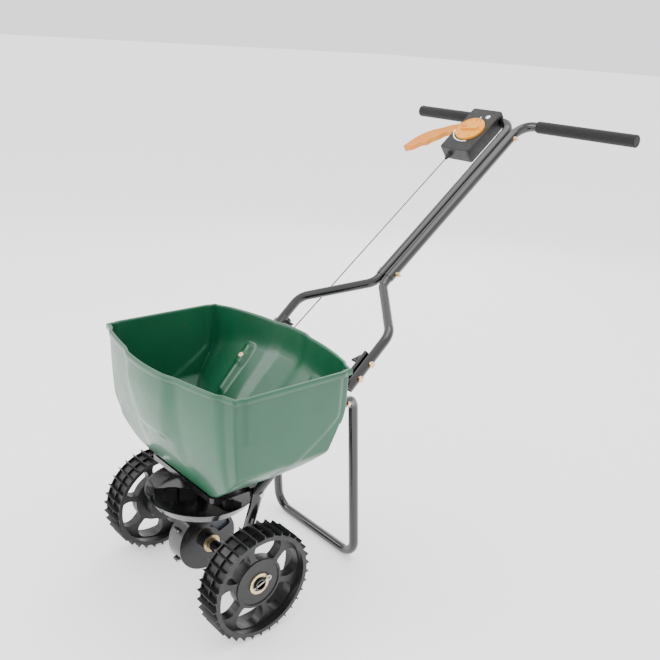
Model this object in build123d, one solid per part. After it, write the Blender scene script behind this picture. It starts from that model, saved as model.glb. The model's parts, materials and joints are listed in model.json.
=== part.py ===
from build123d import *
import os
from math import cos, radians, sin, tan

# Walk-behind broadcast spreader. Millimetres, +Z up, +Y towards the handle, +X to the operator's left.
# Everything is drawn with the axle above Y = 0 and moved to the middle of its footprint on export.
# Places on the handle are given in its own plane: x across, s along it from the handlebar, d above it.

# ---------------------------------------------------------------- driving dimensions
wheel_radius = 120.0            # over the tread blades
wheel_width = 60.0
wheel_centre_x = 198.0          # half the track
blade_count = 34
blade_height = 13.0
blade_thickness = 3.2
rim_wall = 4.0
web_recess = 16.0               # rim face to web face
web_depth = 22.0
spoke_count = 6
spoke_width = 13.0
hub_disc_radius = 49.0
hub_barrel_radius = 38.0
hub_inset = 15.5                # hub end beyond the rim's inner face
hub_ring_outer = 23.0
hub_ring_thickness = 3.0
hub_nose_radius = 16.4

axle_diameter = 25.0
axle_wall = 2.5
axle_overhang = 5.0             # axle end beyond the hub nose
cotter_diameter = 3.2
cotter_tail = 17.0              # pin length each side of the axle's centre
cotter_head = 18.0
cotter_ring_radius = 5.0
cotter_angle = 20.0

leg_x = 138.0
frame_tube = 22.2
handle_tube_lower = 22.2
handle_tube_upper = 25.4
stand_tube = 22.2
tube_wall = 1.5

hopper_half_width = 238.0
hopper_rim_z = 558.0
hopper_floor_z = 290.0
hopper_wall = 3.0
hopper_lip_height = 12.0
hopper_lip_width = 5.0
outlet_length = 16.0
outlet_width = 8.0
outlet_y = 15.0
outlet_pitch = 26.0
front_bow = 49.0                # how far the rim's front and back stand out in the middle
front_reach = -139.0
back_bow = 51.0
back_reach = 238.0
floor_level_half = 105.0        # half width of the level part of the floor
floor_rise = 104.0
floor_bend = 1.2                # 1 is a straight ramp, 2 an ellipse
floor_corner = 1.15
end_stations = (0.0, 0.14, 0.32, 0.55, 0.78, 0.94, 1.0)
floor_back = 26.0               # back edge of the floor in the middle, and how far it moves at the sides
floor_back_sweep = 64.0
floor_front = -50.0
floor_front_sweep = -12.0
back_knee = 14.0                # the bend under the back rim: depth, height and drop at the sides
back_knee_z = 496.0
back_knee_drop = 38.0
front_knee = 26.0               # the same for the front's belly
front_knee_sweep = -14.0
front_knee_z = 400.0
front_knee_rise = 40.0
hopper_bends = (40.0, 14.0, 26.0, 60.0)
rim_places = 10

impeller_radius = 122.0
impeller_rim_z = 242.0
impeller_floor_z = 219.0
impeller_wall = 2.5
impeller_fins = 5
shaft_diameter = 10.0

gear_teeth = 48
pinion_teeth = 12
tooth_width = 2.0
tooth_inner_radius = 45.0
tooth_outer_radius = 53.0
gear_radius = 60.0
gear_thickness = 3.7
gear_back_gap = 0.5             # pinion tip to gear disc
pinion_root = 9.8
pinion_tip = 13.2
pinion_length = 10.0

handle_x = 156.0                # side bars and lower handle tubes
upper_tube_x = 13.0
handlebar_half = 334.5
handlebar_y = 946.0
handlebar_z = 988.0
handle_angle = 38.2             # upper tubes, above the horizontal
lower_angle = 42.0              # lower handle ends and side bars
lower_end_y = 261.0
lower_end_z = 465.0
lower_run = 153.5               # lower end to first bend
upper_bend_s = -584.0           # where the lower tubes meet the line of the upper ones
upper_start_s = -562.0
plug_end_s = -490.0
through_bolt_s = (-545.0, -52.0)
handlebar_bend = 42.0
grip_diameter = 30.0
grip_start_right = 64.0
grip_start_left = 150.0
grip_end_wall = 2.5

stand_x = 145.0
stand_foot_y = 333.0
stand_bend_y = 290.0
stand_bend_z = 432.0
stand_bend_radius = 25.0
stand_foot_radius = 42.0

bar_width = 24.0                # flattened upper end of the side frame
bar_thickness = 10.0
bar_start = -45.0               # along the lower handle line, from the tube end
bar_end = 92.0
bar_bolt_places = (33.0, 73.0)
bar_bolt_diameter = 6.0
leg_bend_y = 48.0
leg_bend_z = 287.0

base_half_width = 118.0
base_front_y = -54.0
base_back_y = 45.0
base_height = 12.0
base_plate = 3.0
base_drop = 1.2                 # below the underside of the hopper floor
shutter_thickness = 2.0
shutter_half_width = 45.0
rod_foot_y = 60.0

box_width = 97.0
box_length = 159.0
box_depth = 41.0
box_wall = 2.5
box_right_x = -50.0
box_top_s = 15.0
box_top_d = 24.0
dial_s = -67.0
dial_radius = 40.0
dial_height = 5.0
lever_thickness = 14.0
lever_plane_d = 3.0
lever_pivot_x = -72.0
lever_pivot_s = -52.0
lever_range = 14.0              # degrees of squeeze
lever_arm = 46.0                # pivot to control rod pin
lever_boss_radius = 12.0
lever_outer_edge = (
    (-110, -38),
    (-150, -35),
    (-185, -46),
    (-206, -60),
    (-233, -76),
    (-262, -108),
    (-277, -148),
)
lever_tip = (-274, -157)
lever_finger_edge = (
    (-264, -156),
    (-246, -146),
    (-232, -130),
    (-219, -124),
    (-207, -106),
    (-197, -98),
    (-188, -84),
    (-176, -76),
    (-150, -76),
    (-115, -72),
)
control_rod_diameter = 3.0

rib_x = 118.0
rib_y = 188.0
rib_width = 24.0                # hopper fixing ribs
rib_length = 118.0
rib_above_bolt = 22.0
rib_height = 8.0
rib_inset = 0.5                 # the ribs start inside the wall's thickness
boss_width = 26.0
boss_height = 13.0
hopper_bolt_diameter = 6.0
bracket_thickness = 3.0
bracket_length = 30.0
bracket_reach = 38.0
bracket_gap = 1.0               # flange to hopper wall
bracket_tube_y = 205.0          # where the bracket meets the leg tube

base_bolt_x = 85.0
base_bolt_front_y = -24.0
base_bolt_back_y = 14.0
base_bolt_diameter = 5.0
ear_inner_x = 114.0
ear_z = 278.0
bushing_radius = 7.0
bushing_flange = 3.0
shutter_front_y = 9.0
shutter_arm_y = 52.0
shutter_gap_y = 40.0
rail_front_y = 8.0
rail_back_y = 40.0
tab_x = -112.0

spoke_angle = -15.0
tooth_height = 3.6
gearbox_radius = 70.0
gearbox_wall = 3.0
gearbox_right_x = 24.0
gearbox_left_x = -22.0
gearbox_boss_radius = 19.0
gearbox_boss_length = 14.0
gearbox_screw_radius = 73.5
gearbox_screw_angles = (-150.0, -30.0, 30.0, 150.0)
window_inner = 30.0
window_outer = 62.0
window_angles = (20.0, 80.0)
neck_radius = 10.0
neck_top_z = 206.0
shaft_low_z = 150.0
impeller_hub_top = 257.0
impeller_hub_radius = 13.0
impeller_pin_z = 250.0
agitator_z = 297.0
agitator_radius = 2.0
agitator_reach = 30.0

eye_radius = 20.0
eye_half = 7.0
leg_bushing_radius = 15.5
bar_taper = 24.0
stand_end_y = 246.0
stand_end_z = 435.0
stand_bolt_diameter = 5.0
stand_bolt_place = 10.0         # from the end of the stand's tube
spigot_start_y = 228.0
spigot_reach = 1.1              # ends this many bend radii before the stand's corner
through_bolt_diameter = 6.0
through_bolt_thread = 13.0      # bolt end beyond the tube
knob_span = 30.0
knob_radius = 8.0
knob_tilt = 10.0

box_corner = 8.0
box_edge = 2.5
box_split_d = 13.0
bar_gap = 1.0                   # handlebar to the box walls
lever_slot_low = -84.0
lever_slot_high = -12.5
lever_round = 3.0
pivot_pin_radius = 3.0
rod_pin_radius = 2.0
rod_eye_radius = 5.0
boot_neck = 4.5
boot_length = 20.0
dial_recess = 2.0
dial_spindle = 6.0
dial_bar_length = 52.0
dial_bar_width = 15.0
dial_bar_height = 7.0
dial_bar_turn = 10.0

running_fit = 0.08              # radial, shaft in bore
free_gap = 0.4                  # between parts that pass each other
fit_gap = 0.15                  # between parts bolted together
seat_gap = 0.05                 # between a bolt head or flange and a moulded face

# ---------------------------------------------------------------- derived places
axle_z = wheel_radius
axle_radius = axle_diameter / 2
wheel_inner_x = wheel_centre_x - wheel_width / 2
wheel_outer_x = wheel_centre_x + wheel_width / 2
web_face_x = wheel_outer_x - web_recess
hub_inner_x = wheel_inner_x - hub_inset
hub_nose_x = web_face_x + hub_ring_thickness
axle_half = hub_nose_x + axle_overhang
tread_base = wheel_radius - blade_height
rim_inner = tread_base - rim_wall
shaft_radius = shaft_diameter / 2
ear_y = leg_bend_y * (ear_z - axle_z) / (leg_bend_z - axle_z)
hole_radius = base_bolt_diameter / 2 + fit_gap
rod_travel = 2 * lever_arm * sin(radians(lever_range / 2))
bar_x = handle_x - handle_tube_lower / 2 - fit_gap - bar_thickness / 2
stand_top_x = bar_x + bar_thickness / 2 + free_gap + stand_tube / 2
handle_dir = Vector(0, cos(radians(handle_angle)), sin(radians(handle_angle)))
lower_dir = Vector(0, cos(radians(lower_angle)), sin(radians(lower_angle)))
handlebar_plane = Plane(
    origin=(0, handlebar_y, handlebar_z),
    x_dir=(1, 0, 0),
    z_dir=(0, -sin(radians(handle_angle)), cos(radians(handle_angle))),
)


# ---------------------------------------------------------------- helpers
def rod_between(start, end, radius):
    """A round bar from start to end."""
    start, end = Vector(start), Vector(end)
    axis = end - start
    return Plane(origin=start, z_dir=axis.normalized()) * extrude(Circle(radius), axis.length)


def x_cylinder(radius, x0, x1, y=0.0, z=0.0):
    """A cylinder along X between x0 and x1."""
    return rod_between((x0, y, z), (x1, y, z), radius)


def x_ring(outer, inner, x0, x1, y=0.0, z=0.0):
    """A flat ring or sleeve along X."""
    return x_cylinder(outer, x0, x1, y, z) - x_cylinder(inner, x0 - 1, x1 + 1, y, z)


def block(x0, x1, y0, y1, z0, z1):
    """A box from its two corners."""
    middle = ((x0 + x1) / 2, (y0 + y1) / 2, (z0 + z1) / 2)
    return Pos(*middle) * Box(x1 - x0, y1 - y0, z1 - z0)


def bent_tube(points, radii, diameter, wall=tube_wall):
    """A hollow tube along straight runs joined by arcs."""
    path = FilletPolyline(*points, radius=radii)
    start = Vector(points[0])
    section = Plane(origin=start, z_dir=(Vector(points[1]) - start).normalized())
    outer = sweep(section * Circle(diameter / 2), path=path)
    inner = sweep(section * Circle(diameter / 2 - wall), path=path)
    return outer - inner


def one_solid(shape):
    """The single solid of a result."""
    solids = shape.solids()
    if len(solids) != 1:
        raise ValueError(f"expected one solid, found {len(solids)}")
    return solids[0]


def mirrored(shape):
    return mirror(shape, about=Plane.YZ)


def both_sides(shape):
    """A shape and its mirror image in the plane X = 0."""
    return Compound(children=[*shape.solids(), *mirrored(shape).solids()])


def hex_bar(width, start, end):
    """A hexagonal nut or bolt head between two points."""
    start, end = Vector(start), Vector(end)
    axis = end - start
    profile = RegularPolygon(width / 2, 6, major_radius=False)
    return Plane(origin=start, z_dir=axis.normalized()) * extrude(profile, axis.length)


def bolt(start, end, diameter, head_width, head_height):
    """A round-headed bolt; the head stands behind the start point."""
    start, end = Vector(start), Vector(end)
    direction = (end - start).normalized()
    shank = rod_between(start, end, diameter / 2)
    head = rod_between(start - direction * head_height, start, head_width / 2)
    rim = head.edges().filter_by(GeomType.CIRCLE).sort_by(lambda edge: (edge.center() - start).length)[-1]
    return shank + fillet(rim, head_height * 0.45)


# ---------------------------------------------------------------- hopper
def rim_front_y(x):
    return front_reach + front_bow * (abs(x) / hopper_half_width) ** 1.6


def rim_back_y(x):
    return back_reach - back_bow * (abs(x) / hopper_half_width) ** 2.2


def floor_height(x):
    """The floor is level in the middle and ramps up to a rounded corner at each side panel."""
    share = max(0.0, (abs(x) - floor_level_half) / (hopper_half_width - floor_level_half))
    left = 1 - min(share, 1.0) ** floor_bend
    return hopper_floor_z + floor_rise * (1 - left ** (1 / floor_corner))


def side_blend(x):
    """0 in the middle of the hopper, 1 at the side panels."""
    return (abs(x) / hopper_half_width) ** 2.5


def floor_back_y(x):
    """Where the level floor meets the sloping back."""
    return floor_back + floor_back_sweep * (abs(x) / hopper_half_width) ** 4


def back_knee_point(x):
    """Y and Z of the bend between the sloping back and the upright band under the rim."""
    blend = side_blend(x)
    return back_knee * (1 - blend), back_knee_z - back_knee_drop * blend


def hopper_section(x, inset, top_z):
    """The hopper's outline at one X, moved in by the wall thickness."""
    blend = side_blend(x)
    floor_z = floor_height(x) + inset - hopper_wall
    front, back = rim_front_y(x) + inset, rim_back_y(x) - inset
    knee_in, knee_z = back_knee_point(x)
    points = [
        (x, back, top_z),
        (x, back - knee_in, knee_z),
        (x, floor_back_y(x), floor_z),
        (x, floor_front + floor_front_sweep * blend, floor_z),
        (x, front + front_knee + front_knee_sweep * blend, front_knee_z + front_knee_rise * blend),
        (x, front, top_z),
    ]
    open_side = FilletPolyline(*points, radius=hopper_bends)
    return make_face(Wire([*open_side.edges(), Line(points[-1], points[0]).edge()]))


def hopper_loft(inset, top_z):
    """Three lofts joined: the level middle, and the two ends that ramp up to the side panels."""
    half, level = hopper_half_width - inset, floor_level_half
    middle = [level * share for share in (-1, -0.5, 0, 0.5, 1)]
    end = [level + (half - level) * share for share in end_stations]
    runs = [[-x for x in reversed(end)], middle, end]
    lofts = [loft([hopper_section(x, inset, top_z) for x in run]) for run in runs]
    return lofts[0] + lofts[1] + lofts[2]


def rim_outline(grow):
    """The rim seen from above, grown or shrunk by a distance."""
    half = hopper_half_width + grow
    places = [-half + 2 * half * i / rim_places for i in range(rim_places + 1)]
    front = Spline(*[(x, rim_front_y(x) - grow) for x in places])
    back = Spline(*[(x, rim_back_y(x) + grow) for x in reversed(places)])
    sides = [Line(front @ 1, back @ 0), Line(back @ 1, front @ 0)]
    return make_face(Wire([front.edge(), sides[0].edge(), back.edge(), sides[1].edge()]))


def make_hopper():
    """The open tub with its thick rolled rim."""
    lip = extrude(rim_outline(hopper_lip_width), hopper_lip_height)
    lip = Pos(0, 0, hopper_rim_z - hopper_lip_height) * lip
    return hopper_loft(0.0, hopper_rim_z) + lip - hopper_loft(hopper_wall, hopper_rim_z + 1)


def rib_frame(side):
    """The plane of the hopper's sloping back at a fixing rib: X across, Z outwards."""
    knee_in, knee_z = back_knee_point(rib_x)
    low_y, low_z = floor_back_y(rib_x), hopper_floor_z - hopper_wall
    slope = Vector(0, rim_back_y(rib_x) - knee_in - low_y, knee_z - low_z).normalized()
    z = low_z + (rib_y - low_y) * slope.Z / slope.Y
    return Plane(origin=(side * rib_x, rib_y, z), x_dir=(1, 0, 0), z_dir=(0, slope.Z, -slope.Y))


def make_rib(side):
    """A fixing rib on the inside of the sloping back, with a boss for the bolt."""
    place = rib_frame(side)
    body = Box(rib_width, rib_length, rib_height + hopper_wall)
    body = fillet(body.edges().filter_by(Axis.Z), rib_width * 0.45)
    ridge_middle = Pos(0, rib_length / 2 - rib_above_bolt, -(rib_height + hopper_wall) / 2 - rib_inset)
    boss = Pos(0, 0, -boss_height / 2 - rib_inset) * Box(boss_width, boss_width, boss_height)
    return place * (ridge_middle * body) + place * boss


def outlets(z0, z1, shift=0.0):
    """The three slots that the seed or salt falls through."""
    slots = []
    for i in (-1, 0, 1):
        x, y = i * outlet_pitch, outlet_y + shift
        half_x, half_y = outlet_length / 2, outlet_width / 2
        slots.append(block(x - half_x, x + half_x, y - half_y, y + half_y, z0, z1))
    return slots


def make_finished_hopper():
    body = make_hopper()
    for side in (1, -1):
        body += make_rib(side)
        bolt_hole = Plane(rib_frame(side).location) * Cylinder(hopper_bolt_diameter / 2 + fit_gap, 60)
        body -= bolt_hole
    for slot in outlets(hopper_floor_z - hopper_wall - 1, hopper_floor_z + 1):
        body -= slot
    body -= rod_between((0, 0, hopper_floor_z - 10), (0, 0, hopper_floor_z + 10), bushing_radius + fit_gap)
    for x, y in base_bolt_places():
        body -= rod_between((x, y, hopper_floor_z - 10), (x, y, hopper_floor_z + 10), hole_radius)
    return one_solid(body)


def make_hopper_bolts():
    """Copper-coloured bolts through the ribs into the frame brackets, with their nuts."""
    parts = []
    for side in (1, -1):
        place = rib_frame(side)
        top = place.from_local_coords((0, 0, -boss_height - rib_inset))
        end = place.from_local_coords((0, 0, bracket_gap + bracket_thickness + 9))
        under = place.from_local_coords((0, 0, bracket_gap + bracket_thickness))
        nut_end = place.from_local_coords((0, 0, bracket_gap + bracket_thickness + 5))
        shape = bolt(top, end, hopper_bolt_diameter, 14, 4) + hex_bar(10, under, nut_end)
        parts.append(one_solid(shape))
    return Compound(children=parts)


# ---------------------------------------------------------------- base under the hopper
def base_bolt_places():
    return [(x, y) for x in (-base_bolt_x, base_bolt_x) for y in (base_bolt_front_y, base_bolt_back_y)]


def make_hopper_base():
    """A shallow moulded tray that carries the hopper, guides the shutter and spans the legs."""
    top = hopper_floor_z - hopper_wall - base_drop
    half = base_half_width
    plate = block(-half, half, base_front_y, base_back_y, top - base_plate, top)
    plate = fillet(plate.edges().filter_by(Axis.Z), 8)
    skirt_z = top - base_height
    outer = fillet(block(-half, half, base_front_y, base_back_y, skirt_z, top).edges().filter_by(Axis.Z), 8)
    inner = block(-half + 4, half - 4, base_front_y + 4, base_back_y - 4, skirt_z - 1, top - base_plate)
    tray = outer - inner + plate
    tray -= block(-half - 1, half + 1, shutter_gap_y, base_back_y + 1, skirt_z - 1, top - base_plate)
    for side in (1, -1):
        ears = [side * ear_inner_x, side * (leg_x - frame_tube / 2 - fit_gap)]
        ear = block(min(ears), max(ears), ear_y - 10, ear_y + 9, skirt_z, top)
        ear += block(min(ears), max(ears), ear_y - 10, base_back_y, top - base_plate, top)
        tray += ear
        tray -= x_cylinder(hole_radius, side * (ear_inner_x - 30), side * leg_x, ear_y, ear_z)
        rails = [side * (shutter_half_width + free_gap), side * (shutter_half_width + 4)]
        rail_z = top - base_plate
        lip = [side * (shutter_half_width - 4), side * (shutter_half_width + 4)]
        lip_top = rail_z - shutter_thickness - 2 * free_gap
        tray += block(min(rails), max(rails), rail_front_y, rail_back_y, lip_top - 2, rail_z)
        tray += block(min(lip), max(lip), rail_front_y, rail_back_y, lip_top - 2, lip_top)
    for slot in outlets(skirt_z, top + 1):
        tray -= slot
    tray -= rod_between((0, 0, skirt_z), (0, 0, top + 1), bushing_radius + fit_gap)
    for x, y in base_bolt_places():
        tray -= rod_between((x, y, skirt_z), (x, y, top + 1), hole_radius)
    return one_solid(tray)


def make_base_bolts():
    """Screws from the hopper floor down through the tray, and bolts from the legs into its ears."""
    parts = []
    top = hopper_floor_z - hopper_wall - base_drop
    for x, y in base_bolt_places():
        head = (x, y, hopper_floor_z + seat_gap)
        shape = bolt(head, (x, y, top - base_plate - 7), base_bolt_diameter, 10, 2.5)
        shape += hex_bar(8, (x, y, top - base_plate), (x, y, top - base_plate - 4))
        parts.append(one_solid(shape))
    for side in (1, -1):
        start = side * (leg_x + frame_tube / 2 + free_gap)
        end = side * (ear_inner_x - 8)
        shape = bolt((start, ear_y, ear_z), (end, ear_y, ear_z), base_bolt_diameter, 11, 4)
        shape += hex_bar(8, (side * ear_inner_x, ear_y, ear_z), (side * (ear_inner_x - 4), ear_y, ear_z))
        parts.append(one_solid(shape))
    return Compound(children=parts)


def make_shaft_bushing():
    top = hopper_floor_z - hopper_wall - base_drop
    flange_z = hopper_floor_z + seat_gap
    sleeve = rod_between((0, 0, top - base_plate), (0, 0, flange_z), bushing_radius)
    sleeve += rod_between((0, 0, flange_z), (0, 0, flange_z + 1.5), bushing_radius + bushing_flange)
    bore = rod_between((0, 0, top - 10), (0, 0, hopper_floor_z + 5), shaft_radius + running_fit)
    return one_solid(sleeve - bore)


def make_shutter():
    """The sliding plate; its slots stand in front of the outlets when closed."""
    top = hopper_floor_z - hopper_wall - base_drop - base_plate - free_gap
    low = top - shutter_thickness
    foot = rod_foot()
    plate = block(-shutter_half_width, shutter_half_width, shutter_front_y, shutter_arm_y, low, top)
    arm = block(tab_x - shutter_thickness, shutter_half_width, shutter_arm_y - 0.01, foot.Y + 8, low, top)
    arm = fillet(arm.edges().filter_by(Axis.Z), 4)
    tab_low, tab_high = foot.Y - 8, foot.Y + 8
    slot_top = foot.Z + rod_travel * handle_dir.Z
    tab = block(tab_x - shutter_thickness, tab_x, tab_low, tab_high, low, slot_top + 5)
    radius = control_rod_diameter / 2 + free_gap
    slot = block(tab_x - 5, tab_x + 5, foot.Y - radius, foot.Y + radius, foot.Z, slot_top)
    slot += x_cylinder(radius, tab_x - 5, tab_x + 5, foot.Y, foot.Z)
    slot += x_cylinder(radius, tab_x - 5, tab_x + 5, foot.Y, slot_top)
    body = plate + arm + tab - slot
    for opening in outlets(low - 1, top + 1, -rod_travel * handle_dir.Y):
        body -= opening
    return one_solid(body)


# ---------------------------------------------------------------- wheels and axle
def wheel_profile():
    """The toothed outline of the tread, in the plane of the wheel."""
    half_tip = blade_thickness / 4
    half_base = blade_thickness
    blade = make_face(
        Polyline(
            (tread_base - 1, -half_base),
            (wheel_radius - 1, -half_tip),
            (wheel_radius, 0),
            (wheel_radius - 1, half_tip),
            (tread_base - 1, half_base),
            close=True,
        )
    )
    return Circle(tread_base) + [Rot(0, 0, 360 / blade_count * i - 90) * blade for i in range(blade_count)]


def petal():
    """One opening between two spokes, with round corners."""
    reach = wheel_radius * 2
    tip = spoke_width
    half_angle = 180 / spoke_count
    side = (tip + reach * cos(radians(half_angle)), reach * sin(radians(half_angle)))
    wedge = make_face(Polyline((tip, 0), side, (side[0], -side[1]), close=True))
    ring = Circle(rim_inner - 2) - Circle(hub_disc_radius + 7)
    shape = (ring & wedge).faces()[0]
    corners = shape.vertices().sort_by(lambda v: Vector(v.X, v.Y, 0).length)
    shape = fillet(corners[2:], 24)
    corners = shape.vertices().sort_by(lambda v: Vector(v.X, v.Y, 0).length)
    return fillet(corners[:2], 6)


def make_wheel():
    """The wheel on the +X side."""
    face_plane = Plane.YZ
    tread = face_plane.offset(wheel_inner_x) * extrude(wheel_profile(), wheel_width)
    rib_radius = tread_base + 5
    for x in (wheel_inner_x, wheel_centre_x - 1.5, wheel_outer_x - 3):
        tread += x_cylinder(rib_radius, x, x + 3)
    tread -= x_cylinder(rim_inner, wheel_inner_x - 1, wheel_outer_x + 1)
    web = x_cylinder(rim_inner + 1, web_face_x - web_depth, web_face_x)
    step = 360 / spoke_count
    for i in range(spoke_count):
        opening = Rot(0, 0, spoke_angle + step / 2 + step * i) * petal()
        web -= face_plane.offset(web_face_x - web_depth - 1) * extrude(opening, web_depth + 2)
    hub = x_ring(hub_disc_radius + 5, hub_disc_radius, web_face_x - 1, web_face_x + 2)
    hub += x_cylinder(hub_barrel_radius, hub_inner_x, web_face_x - 1)
    hub += x_cylinder(hub_nose_radius, web_face_x - 1, hub_nose_x)
    wheel = tread + web + hub
    wheel -= x_cylinder(axle_radius + running_fit, hub_inner_x - 1, hub_nose_x + 1)
    return one_solid(Pos(0, 0, axle_z) * wheel)


def make_wheel_rings():
    """The plated retaining rings pressed on both ends of the hub."""
    outer = x_ring(hub_ring_outer, hub_nose_radius + fit_gap, web_face_x, web_face_x + hub_ring_thickness)
    inner = x_ring(hub_ring_outer - 2, axle_radius + free_gap, hub_inner_x - hub_ring_thickness, hub_inner_x)
    dimple = Pos(web_face_x + hub_ring_thickness, (hub_ring_outer + hub_nose_radius) / 2, 0)
    for i in range(3):
        outer -= Rot(120 * i + 30, 0, 0) * dimple * Rot(0, 90, 0) * Cylinder(1.6, 1.6)
    return [Pos(0, 0, axle_z) * one_solid(outer), Pos(0, 0, axle_z) * one_solid(inner)]


def cotter_x():
    return hub_nose_x + axle_overhang / 2


def make_axle():
    tube = x_ring(axle_radius, axle_radius - axle_wall, -axle_half, axle_half, 0, axle_z)
    for side in (1, -1):
        ends = cotter_line(side, -axle_diameter), cotter_line(side, axle_diameter)
        tube -= rod_between(*ends, cotter_diameter / 2 + fit_gap)
    return one_solid(tube)


def cotter_line(side, distance):
    angle = radians(cotter_angle)
    return Vector(side * cotter_x(), distance * cos(angle), axle_z + distance * sin(angle))


def make_cotter_pins():
    """Pins through the axle ends that keep the wheels on, each with its pulling ring."""
    parts = []
    for side in (1, -1):
        start, end = cotter_line(side, -cotter_tail), cotter_line(side, cotter_head)
        pin = rod_between(start, end, cotter_diameter / 2)
        middle = cotter_line(side, cotter_head + cotter_ring_radius - 1)
        ring = Plane(origin=middle, z_dir=(1, 0, 0)) * Torus(cotter_ring_radius, cotter_diameter / 2)
        parts.append(one_solid(pin + ring))
    return Compound(children=parts)


# ---------------------------------------------------------------- gearbox
def gear_face_x():
    """The face of the gear disc that carries the teeth."""
    return pinion_tip + gear_back_gap


def make_drive_gear():
    """The crown gear on the axle; one tooth stands straight up at rest."""
    x0 = gear_face_x()
    body = x_cylinder(gear_radius, x0, x0 + gear_thickness)
    body += x_cylinder(axle_radius + 7, x0, x0 + gear_thickness + 2)
    tooth_length = tooth_outer_radius - tooth_inner_radius
    tooth_x = x0 + 0.5 - tooth_height
    tooth_z = (tooth_inner_radius + tooth_outer_radius) / 2
    tooth = Pos(tooth_x + tooth_height / 2, 0, tooth_z) * Box(tooth_height, tooth_width, tooth_length)
    body += [Rot(360 / gear_teeth * i, 0, 0) * tooth for i in range(gear_teeth)]
    body -= x_cylinder(axle_radius + running_fit, x0 - 5, x0 + 20)
    return one_solid(Pos(0, 0, axle_z) * body)


def make_pinion():
    """Two teeth straddle the +X direction at rest, so that the gear's top tooth stands between."""
    z0 = axle_z + (tooth_inner_radius + tooth_outer_radius) / 2 - pinion_length / 2
    profile = Circle(pinion_root)
    pitch = 360 / pinion_teeth
    for i in range(pinion_teeth):
        height = pinion_tip - pinion_root + 1
        tooth = Pos(pinion_tip - height / 2, 0) * Rectangle(height, tooth_width)
        profile += Rot(0, 0, pitch * (i + 0.5)) * tooth
    body = Pos(0, 0, z0) * extrude(profile, pinion_length)
    body -= Pos(0, 0, z0 - 1) * extrude(Circle(shaft_radius + running_fit), pinion_length + 2)
    return one_solid(body)


def gearbox_neck(radius, z1):
    return rod_between((0, 0, axle_z + gearbox_radius - 6), (0, 0, z1), radius)


def gearbox_shell(x_disc, x_joint, radius, boss_end):
    """One half of the drum: an end disc, a rim and a boss for the axle."""
    out = 1 if x_disc > x_joint else -1
    face = sorted([x_disc, x_disc - out * gearbox_wall])
    rim = sorted([x_joint, x_disc])
    shell = x_cylinder(radius, *face)
    shell += x_ring(radius, radius - gearbox_wall, *rim)
    shell += x_cylinder(gearbox_boss_radius, *sorted([x_disc, boss_end]))
    shell -= x_cylinder(axle_radius + running_fit, -60, 60)
    return Pos(0, 0, axle_z) * shell


def gearbox_screw_places():
    angles = [radians(a) for a in gearbox_screw_angles]
    return [gearbox_screw_radius * Vector(0, cos(a), sin(a)) for a in angles]


def make_gearbox_right():
    """The half that covers the gear, with a sight window."""
    shell = gearbox_shell(gearbox_right_x, fit_gap / 2, gearbox_radius, gearbox_right_x + gearbox_boss_length)
    window = Plane.YZ.offset(gearbox_right_x - 10) * extrude(gearbox_window(), 20)
    shell -= Pos(0, 0, axle_z) * window
    for place in gearbox_screw_places():
        y, z = place.Y, axle_z + place.Z
        shell += x_cylinder(4.5, fit_gap / 2, 7, y, z)
        shell -= x_cylinder(1.5, -1, 8, y, z)
    shell -= gearbox_neck(neck_radius + fit_gap, axle_z + gearbox_radius + 20)
    return one_solid(shell)


def gearbox_window():
    ring = Circle(window_outer) - Circle(window_inner)
    reach = gearbox_radius * 2
    edges = [radians(a) for a in window_angles]
    corners = [(reach * cos(a), reach * sin(a)) for a in edges]
    middle = sum(edges) / 2
    far = (reach * 2 * cos(middle), reach * 2 * sin(middle))
    wedge = make_face(Polyline((0, 0), corners[0], far, corners[1], close=True))
    shape = (ring & wedge).faces()[0]
    return fillet(shape.vertices(), 5)


def make_gearbox_left():
    """The half with the neck that holds the upright shaft."""
    shell = gearbox_shell(gearbox_left_x, -fit_gap / 2, gearbox_radius, gearbox_left_x - gearbox_boss_length)
    for place in gearbox_screw_places():
        y, z = place.Y, axle_z + place.Z
        shell += x_cylinder(4.5, -7, -fit_gap / 2, y, z)
        shell -= x_cylinder(1.5, -8, 1, y, z)
    shell += gearbox_neck(neck_radius, neck_top_z)
    shell -= gearbox_neck(shaft_radius + running_fit, neck_top_z + 1)
    return one_solid(shell)


def make_gearbox_screws():
    parts = []
    for place in gearbox_screw_places():
        y, z = place.Y, axle_z + place.Z
        parts.append(one_solid(bolt((7, y, z), (-6, y, z), 2.8, 6, 2)))
    return Compound(children=parts)


def make_gearbox_rings():
    rings = []
    right_start = gearbox_right_x + gearbox_boss_length
    left_start = gearbox_left_x - gearbox_boss_length - hub_ring_thickness
    for x in (right_start, left_start):
        ring = x_ring(gearbox_boss_radius + 1, axle_radius + free_gap, x, x + hub_ring_thickness, 0, axle_z)
        rings.append(one_solid(ring))
    return Compound(children=rings)


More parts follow.
